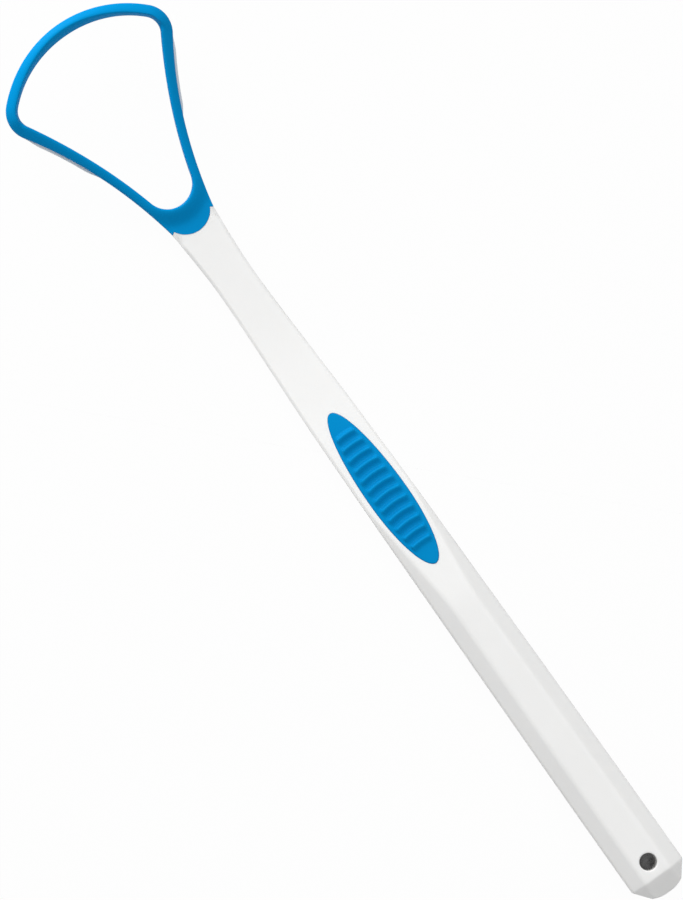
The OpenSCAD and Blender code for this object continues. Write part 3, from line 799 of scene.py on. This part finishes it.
class PadForm:
    """Curves of the thumb pad in its own frame, with x from its widest point towards the head."""

    def __init__(self, scene, form):
        p = self.p = scene.scraper_pad
        self.first = -p.rib_start * p.butt_length
        self.count = 1 + math.floor((p.rib_end * p.head_length - self.first) / p.rib_pitch)
        self.start = self.first - (1 - p.rib_fall) * p.rib_pitch
        self.end = self.first + (self.count - 1 + p.rib_fall) * p.rib_pitch
        x = form.h.grip_length + p.from_slope
        turn = Matrix.Rotation(math.atan(form.grade), 4, "Y")
        self.frame = Matrix.Translation((x + CORE_LOW.x, 0, form.top(x))) @ turn

    def reach(self, x):
        """Distance from the widest point to the tip on the same side as x."""
        return self.p.butt_length if x < 0 else self.p.head_length

    def half_width(self, x):
        """Half width of the pad."""
        return self.p.width / 2 * math.sqrt(max(0.0, 1 - (x / self.reach(x)) ** 2))

    def rib(self, x):
        """A long soft rise to each round crest from the butt side, and a short fall on its head side."""
        p = self.p
        if not self.start < x < self.end:
            return 0.0
        phase = (x - self.first) / p.rib_pitch % 1.0
        if phase < p.rib_fall:
            return 1 - ease(phase / p.rib_fall)
        return ease(((phase - p.rib_fall) / (1 - p.rib_fall)) ** p.rib_lean)

    def point(self, x, a):
        """A point of the top, from a place along the pad and a share of its half width."""
        p = self.p
        bowed = x - p.rib_bow * a * a * (2 * self.half_width(x) / p.width) ** 2
        w = self.half_width(bowed)
        dome = (p.crown - p.edge) * (1 - a * a) * 2 * w / p.width
        ribbed = 1 - ease((abs(a) - RIB_FADE_START) / RIB_FADE_SHARE)
        edge_d = w * (1 - abs(a))
        z = p.edge + dome + p.rib_height * self.rib(x) * ribbed - rounding(p.edge_round, edge_d)
        return (bowed, a * w, z)


def pad_mesh(pad):
    """Points and faces of the ribbed pad."""
    p = pad.p
    tips = [math.radians(a) for a in PAD_TIP_DEGREES]
    shares = [i / PAD_END_STEPS for i in range(1, PAD_END_STEPS)]
    start, end = pad.start - p.rib_pitch / RIB_STEPS, pad.end + p.rib_pitch / RIB_STEPS
    steps = round((end - start) / p.rib_pitch * RIB_STEPS)
    places = [-p.butt_length * math.cos(a) for a in tips]
    places += [mix(places[-1], start, t) for t in shares]
    places += [mix(start, end, i / steps) for i in range(steps + 1)]
    places += [mix(end, p.head_length * math.cos(tips[-1]), t) for t in shares]
    places += [p.head_length * math.cos(a) for a in reversed(tips)]
    half = [i / PAD_HALF_STEPS for i in range(PAD_HALF_STEPS - 1)] + list(PAD_EDGE_SHARES)
    across = [-a for a in reversed(half[1:])] + half
    rings = []
    for x in places:
        top = [pad.point(x, a) for a in across]
        low = p.edge - p.seat
        rings.append(top + [(top[-1][0], top[-1][1], low), (top[0][0], top[0][1], low)])
    points = [pad.frame @ Vector(q) for ring in rings for q in ring]
    return points, capped_faces(len(rings), len(rings[0]))


def turned_cutter(name, centre, profile, steps):
    """A round cutter about an upright axis, from radius and height pairs."""
    rings = []
    for radius, z in profile:
        turns = [2 * math.pi * i / steps for i in range(steps)]
        rings.append([centre + Vector((radius * math.cos(a), radius * math.sin(a), z)) for a in turns])
    return stacked(name, rings)


def stacked(name, rings):
    """A closed object from rings of equal length, capped at both ends."""
    points = [p for ring in rings for p in ring]
    return add_object(name, points, capped_faces(len(rings), len(rings[0])))


def add_object(name, points, faces):
    """A linked mesh object with its normals outward."""
    mesh = bpy.data.meshes.new(name)
    mesh.from_pydata(points, [], faces)
    work = bmesh.new()
    work.from_mesh(mesh)
    bmesh.ops.recalc_face_normals(work, faces=work.faces)
    work.to_mesh(mesh)
    work.free()
    made = bpy.data.objects.new(name, mesh)
    bpy.context.scene.collection.objects.link(made)
    return made


def cut_away(piece, cutters):
    """Takes the cutters' space out of a piece and deletes them; it works in millimetres, for accuracy."""
    for made in (piece, *cutters):
        made.data.transform(Matrix.Scale(1 / MM, 4))
    for cutter in cutters:
        cut = piece.modifiers.new(cutter.name, "BOOLEAN")
        cut.operation = "DIFFERENCE"
        cut.solver = "EXACT"
        cut.object = cutter
    bpy.context.view_layer.update()
    shown = piece.evaluated_get(bpy.context.evaluated_depsgraph_get())
    piece.data = bpy.data.meshes.new_from_object(shown)
    work = bmesh.new()
    work.from_mesh(piece.data)
    bmesh.ops.remove_doubles(work, verts=work.verts, dist=MM)
    work.to_mesh(piece.data)
    work.free()
    piece.data.transform(Matrix.Scale(MM, 4))
    piece.modifiers.clear()
    for cutter in cutters:
        bpy.data.objects.remove(cutter)


def finish_piece(piece, node, material, sharp_degrees):
    """Shades a piece, gives it its finish, and lets it stand for its node."""
    piece.data.shade_smooth()
    piece.data.set_sharp_from_angle(angle=math.radians(sharp_degrees))
    even = piece.modifiers.new("even normals", "WEIGHTED_NORMAL")
    even.keep_sharp = True
    piece.data.materials.clear()
    piece.data.materials.append(material)
    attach(piece, BODY)
    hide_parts(node)


def add_node(tree, kind, settings=None, inputs=None, links=None):
    """Adds a node, sets its settings and its sockets, and links sockets to other nodes' outputs."""
    node = tree.nodes.new(kind)
    for key, value in (settings or {}).items():
        setattr(node, key, value)
    for key, value in (inputs or {}).items():
        node.inputs[key].default_value = value
    for key, source in (links or {}).items():
        tree.links.new(source, node.inputs[key])
    return node


def new_material(name):
    """An empty material and its node tree."""
    material = bpy.data.materials.new(name)
    material.use_nodes = True
    material.node_tree.nodes.clear()
    return material, material.node_tree


def per_size(metres):
    """Scale of a pattern in object space whose features are this far apart."""
    return 1 / metres


def moulded_polypropylene(finish):
    """Injection-moulded polypropylene: milky, satin, with a faint orange peel from the mould."""
    material, tree = new_material("moulded white polypropylene")
    place = add_node(tree, "ShaderNodeTexCoord").outputs["Object"]
    flow = add_node(
        tree, "ShaderNodeTexNoise", {},
        {"Scale": per_size(FLOW_SPACING), "Detail": 2.0}, {"Vector": place})
    peel = add_node(
        tree, "ShaderNodeTexNoise", {},
        {"Scale": per_size(PEEL_SPACING), "Detail": 2.0}, {"Vector": place})
    tint = add_node(
        tree, "ShaderNodeMix", {"data_type": "RGBA"},
        {"A": (*finish.white, 1), "B": (*finish.white_shade, 1)}, {"Factor": flow.outputs["Fac"]})
    gloss = add_node(
        tree, "ShaderNodeMapRange", {}, {"To Min": 0.36, "To Max": 0.46}, {"Value": peel.outputs["Fac"]})
    bump = add_node(
        tree, "ShaderNodeBump", {}, {"Strength": 0.12, "Distance": 0.02 * MM},
        {"Height": peel.outputs["Fac"]})
    shader = add_node(
        tree, "ShaderNodeBsdfPrincipled", {},
        {"IOR": 1.49, "Subsurface Weight": 0.12, "Subsurface Radius": (1.0, 0.95, 0.9),
         "Subsurface Scale": 0.8 * MM},
        {"Base Color": tint.outputs["Result"], "Roughness": gloss.outputs["Result"],
         "Normal": bump.outputs["Normal"]})
    add_node(tree, "ShaderNodeOutputMaterial", {}, {}, {"Surface": shader.outputs["BSDF"]})
    return material


def soft_elastomer(finish):
    """Overmoulded thermoplastic elastomer: matte, faintly grained, with painted shade that deepens its
    colour in its hollows.
    """
    material, tree = new_material("soft blue elastomer")
    place = add_node(tree, "ShaderNodeTexCoord").outputs["Object"]
    cloud = add_node(
        tree, "ShaderNodeTexNoise", {},
        {"Scale": per_size(CLOUD_SPACING), "Detail": 3.0}, {"Vector": place})
    grain = add_node(
        tree, "ShaderNodeTexNoise", {},
        {"Scale": per_size(GRAIN_SPACING), "Detail": 3.0}, {"Vector": place})
    # Painted shade: occlusion by nearby walls turns the blue deeper in hollows and creases
    near = add_node(
        tree, "ShaderNodeAmbientOcclusion", {"samples": 8, "only_local": True}, {"Distance": PAINTED_SHADE_REACH})
    hollow_shade_mask = add_node(
        tree, "ShaderNodeMapRange", {"interpolation_type": "SMOOTHSTEP"},
        {"From Min": 0.5, "From Max": 0.95, "To Min": 1.0, "To Max": 0.0}, {"Value": near.outputs["AO"]})
    even = add_node(
        tree, "ShaderNodeMix", {"data_type": "RGBA"},
        {"A": (*finish.blue, 1), "B": (*finish.blue_cloud, 1)}, {"Factor": cloud.outputs["Fac"]})
    tint = add_node(
        tree, "ShaderNodeMix", {"data_type": "RGBA"}, {"B": (*finish.blue_painted_shade, 1)},
        {"Factor": hollow_shade_mask.outputs["Result"], "A": even.outputs["Result"]})
    gloss = add_node(
        tree, "ShaderNodeMapRange", {}, {"To Min": 0.44, "To Max": 0.56}, {"Value": grain.outputs["Fac"]})
    bump = add_node(
        tree, "ShaderNodeBump", {}, {"Strength": 0.18, "Distance": 0.02 * MM},
        {"Height": grain.outputs["Fac"]})
    shader = add_node(
        tree, "ShaderNodeBsdfPrincipled", {}, {"IOR": 1.5, "Specular IOR Level": 0.03},
        {"Base Color": tint.outputs["Result"], "Roughness": gloss.outputs["Result"],
         "Normal": bump.outputs["Normal"]})
    add_node(tree, "ShaderNodeOutputMaterial", {}, {}, {"Surface": shader.outputs["BSDF"]})
    return material


def background_seen(tree):
    """One for what the camera sees, straight, in gloss or through glass, and nothing for other rays."""
    ray = add_node(tree, "ShaderNodeLightPath")
    first = add_node(
        tree, "ShaderNodeMath", {"operation": "ADD"}, {},
        {0: ray.outputs["Is Camera Ray"], 1: ray.outputs["Is Glossy Ray"]})
    both = add_node(
        tree, "ShaderNodeMath", {"operation": "ADD", "use_clamp": True}, {},
        {0: first.outputs["Value"], 1: ray.outputs["Is Transmission Ray"]})
    return both.outputs["Value"]


def pale_floor(finish):
    """Plain painted board: white for the camera in the open, and close to the tool its real shade over a
    painted shade of dark grey.
    """
    material, tree = new_material("pale painted board")
    place = add_node(tree, "ShaderNodeTexCoord").outputs["Object"]
    mottle = add_node(
        tree, "ShaderNodeTexNoise", {},
        {"Scale": per_size(MOTTLE_SPACING), "Detail": 2.0}, {"Vector": place})
    rough = add_node(
        tree, "ShaderNodeMapRange", {}, {"To Min": 0.85, "To Max": 0.95}, {"Value": mottle.outputs["Fac"]})
    near = add_node(tree, "ShaderNodeAmbientOcclusion", {"samples": 8}, {"Distance": COVER_REACH})
    uncovered = add_node(
        tree, "ShaderNodeMapRange", {"interpolation_type": "SMOOTHSTEP"},
        {"From Min": 0.1, "From Max": 0.4}, {"Value": near.outputs["AO"]})
    # Painted shade: the floor's colour turns dark grey where the tool covers it closely
    tint = add_node(
        tree, "ShaderNodeMix", {"data_type": "RGBA"},
        {"A": (*finish.floor_painted_shade, 1), "B": (*finish.floor, 1)}, {"Factor": uncovered.outputs["Result"]})
    board = add_node(
        tree, "ShaderNodeBsdfPrincipled", {}, {"Specular IOR Level": 0.0},
        {"Base Color": tint.outputs["Result"], "Roughness": rough.outputs["Result"]})
    glow = add_node(tree, "ShaderNodeEmission", {}, {"Color": (1, 1, 1, 1), "Strength": 1.0})
    seen = add_node(
        tree, "ShaderNodeMath", {"operation": "MULTIPLY"}, {},
        {0: background_seen(tree), 1: uncovered.outputs["Result"]})
    whiteness = add_node(
        tree, "ShaderNodeMath", {"operation": "MULTIPLY"}, {1: WHITE_SHARE}, {0: seen.outputs["Value"]})
    surface = add_node(
        tree, "ShaderNodeMixShader", {}, {},
        {0: whiteness.outputs["Value"], 1: board.outputs["BSDF"], 2: glow.outputs["Emission"]})
    add_node(tree, "ShaderNodeOutputMaterial", {}, {}, {"Surface": surface.outputs["Shader"]})
    return material


class SCRAPER_OT_handle_core(bpy.types.Operator):
    """Make the white moulded handle with its hanging hole, pad pocket, neck and loop core"""
    bl_idname = "scraper.handle_core"
    bl_label = "Handle core"

    def execute(self, context):
        form = Form(context.scene)
        pad = PadForm(context.scene, form)
        piece = add_object("moulded_handle", *core_mesh(form))
        cut_away(piece, [self.hole_cutter(form), self.pocket_cutter(pad)])
        material = moulded_polypropylene(context.scene.scraper_finish)
        finish_piece(piece, "handle_core", material, sharp_degrees=40)
        return {"FINISHED"}

    def hole_cutter(self, form):
        """The hanging hole, with its rims rounded; the cutter ends a hair outside the faces."""
        r = form.h.edge_depth * HOLE_RIM_SHARE
        hair = r * HAIR_SHARE
        radius = HOLE["dims"]["r_mm"] * MM
        depth = HOLE["dims"]["length_mm"] * MM + 2 * hair
        centre = Vector(HOLE["pos_m"])
        centre.z -= depth / 2
        turns = [math.radians(a) for a in RIM_DEGREES]
        rim = [(radius + r * (1 - math.cos(a)), depth - r * (1 - math.sin(a))) for a in turns]
        profile = [(q, depth - z) for q, z in reversed(rim)] + rim
        over = r * 2
        profile = [(profile[0][0], -over)] + profile + [(rim[-1][0], depth + over)]
        return turned_cutter("hole cutter", centre, profile, HOLE_STEPS)

    def pocket_cutter(self, pad):
        """The pocket of the thumb pad, a hair wider than the pad."""
        p = pad.p
        gap = p.edge * POCKET_GAP_SHARE
        turns = [2 * math.pi * i / POCKET_STEPS for i in range(POCKET_STEPS)]
        profile = [(gap, -p.seat)] + [(gap * wide, p.edge * high) for wide, high in POCKET_RIM_SHARES]
        profile.append((profile[-1][0], p.seat))
        rings = []
        for grow, z in profile:
            half = p.width / 2 + grow
            ring = [((pad.reach(math.cos(a)) + grow) * math.cos(a), half * math.sin(a), z) for a in turns]
            rings.append([pad.frame @ Vector(q) for q in ring])
        return stacked("pocket cutter", rings)


class SCRAPER_OT_head_skin(bpy.types.Operator):
    """Make the soft blue skin over the loop, with its bib, rim and scraping lip"""
    bl_idname = "scraper.head_skin"
    bl_label = "Head skin"

    def execute(self, context):
        piece = add_object("scraping_head_skin", *skin_mesh(Form(context.scene)))
        material = soft_elastomer(context.scene.scraper_finish)
        finish_piece(piece, "head_skin", material, sharp_degrees=50)
        return {"FINISHED"}


class SCRAPER_OT_thumb_pad(bpy.types.Operator):
    """Make the soft blue thumb pad with its curved ribs"""
    bl_idname = "scraper.thumb_pad"
    bl_label = "Thumb pad"

    def execute(self, context):
        pad = PadForm(context.scene, Form(context.scene))
        piece = add_object("ribbed_thumb_pad", *pad_mesh(pad))
        made = bpy.data.materials.get("soft blue elastomer")
        material = made or soft_elastomer(context.scene.scraper_finish)
        finish_piece(piece, "thumb_pad", material, sharp_degrees=60)
        return {"FINISHED"}


class SCRAPER_OT_stage(bpy.types.Operator):
    """Make the pale floor, the soft lights, the white surroundings and the camera"""
    bl_idname = "scraper.stage"
    bl_label = "Stage"

    def execute(self, context):
        scene = context.scene
        scene.view_settings.view_transform = "Standard"
        self.add_floor(scene)
        self.add_world(scene)
        for name, lamp in LAMPS.items():
            self.add_lamp(name, *lamp)
        self.add_camera(scene)
        return {"FINISHED"}

    def add_floor(self, scene):
        """A plain floor far wider than the view."""
        half = FLOOR_HALF
        corners = [(-half, -half, 0), (half, -half, 0), (half, half, 0), (-half, half, 0)]
        floor = add_object("floor", corners, [(0, 1, 2, 3)])
        floor.data.materials.append(pale_floor(scene.scraper_finish))

    def add_world(self, scene):
        """Surroundings that light the tool softly and look white."""
        world = bpy.data.worlds.new("white surroundings")
        world.use_nodes = True
        tree = world.node_tree
        tree.nodes.clear()
        seen = add_node(
            tree, "ShaderNodeMapRange", {}, {"To Min": WORLD_LIGHT, "To Max": 1.0},
            {"Value": background_seen(tree)})
        shade = add_node(
            tree, "ShaderNodeBackground", {}, {"Color": (1, 1, 1, 1)}, {"Strength": seen.outputs["Result"]})
        add_node(tree, "ShaderNodeOutputWorld", {}, {}, {"Surface": shade.outputs["Background"]})
        scene.world = world

    def add_lamp(self, name, direction, distance, size, power):
        """A soft square lamp that faces the middle of the tool."""
        lamp = bpy.data.lights.new(name, "AREA")
        lamp.shape = "SQUARE"
        lamp.size = size
        lamp.energy = power
        holder = bpy.data.objects.new(name, lamp)
        way = Vector(direction).normalized()
        holder.location = way * distance
        holder.rotation_mode = "QUATERNION"
        holder.rotation_quaternion = way.to_track_quat("Z", "Y")
        bpy.context.scene.collection.objects.link(holder)

    def add_camera(self, scene):
        """The camera, turned first and then set back from its aim."""
        stage = scene.scraper_stage
        camera = bpy.data.cameras.new("camera")
        camera.lens = stage.lens
        camera.clip_end = VIEW_END
        holder = bpy.data.objects.new("camera", camera)
        holder.rotation_euler = stage.camera_turn
        turn = holder.rotation_euler.to_matrix()
        aside = Vector((*stage.camera_aside, stage.camera_distance))
        holder.location = Vector(stage.camera_aim) + turn @ aside
        scene.collection.objects.link(holder)
        scene.camera = holder


class StageSettings(bpy.types.PropertyGroup):
    """Where the camera stands."""
    camera_turn: bpy.props.FloatVectorProperty(
        name="Camera turn", description="The camera's turn about X, Y and Z", size=3, subtype="EULER",
        default=(math.radians(-0.579), math.radians(-2.746), math.radians(-125.354)))
    camera_aim: bpy.props.FloatVectorProperty(
        name="Camera aim", description="The point that the camera looks at", size=3, subtype="TRANSLATION",
        unit="LENGTH", default=(0.0, 0.0, 0.005))
    camera_aside: bpy.props.FloatVectorProperty(
        name="Camera aside", description="How far the camera stands right of and above its aim", size=2,
        unit="LENGTH", default=(-0.00375, 0.00169))
    camera_distance: bpy.props.FloatProperty(
        name="Camera distance", description="From the camera to its aim", default=3.0, unit="LENGTH")
    lens: bpy.props.FloatProperty(name="Lens", description="Focal length, in millimetres", default=668.0)


class SCRAPER_PT_panel(bpy.types.Panel):
    """Lists the steps that build the tongue scraper"""
    bl_idname = "SCRAPER_PT_panel"
    bl_label = "Tongue scraper"
    bl_space_type = "VIEW_3D"
    bl_region_type = "UI"
    bl_category = "Scraper"

    def draw(self, context):
        for operator in OPERATORS:
            self.layout.operator(operator.bl_idname)
        for name in GROUPS:
            group = getattr(context.scene, name)
            for key in group.bl_rna.properties.keys():
                if key not in ("rna_type", "name"):
                    self.layout.prop(group, key)


OPERATORS = (SCRAPER_OT_handle_core, SCRAPER_OT_head_skin, SCRAPER_OT_thumb_pad, SCRAPER_OT_stage)
GROUPS = {
    "scraper_handle": HandleSizes,
    "scraper_head": HeadSizes,
    "scraper_pad": PadSizes,
    "scraper_finish": Finishes,
    "scraper_stage": StageSettings,
}


def register():
    for group in (*GROUPS.values(), *OPERATORS, SCRAPER_PT_panel):
        bpy.utils.register_class(group)
    for name, group in GROUPS.items():
        setattr(bpy.types.Scene, name, bpy.props.PointerProperty(type=group))


def unregister():
    for name in GROUPS:
        delattr(bpy.types.Scene, name)
    for group in (SCRAPER_PT_panel, *reversed(OPERATORS), *reversed(list(GROUPS.values()))):
        bpy.utils.unregister_class(group)


def main():
    """Builds the pieces and the stage."""
    register()
    bpy.ops.scraper.handle_core()
    bpy.ops.scraper.head_skin()
    bpy.ops.scraper.thumb_pad()
    bpy.ops.scraper.stage()


if __name__ == "__main__":
    main()
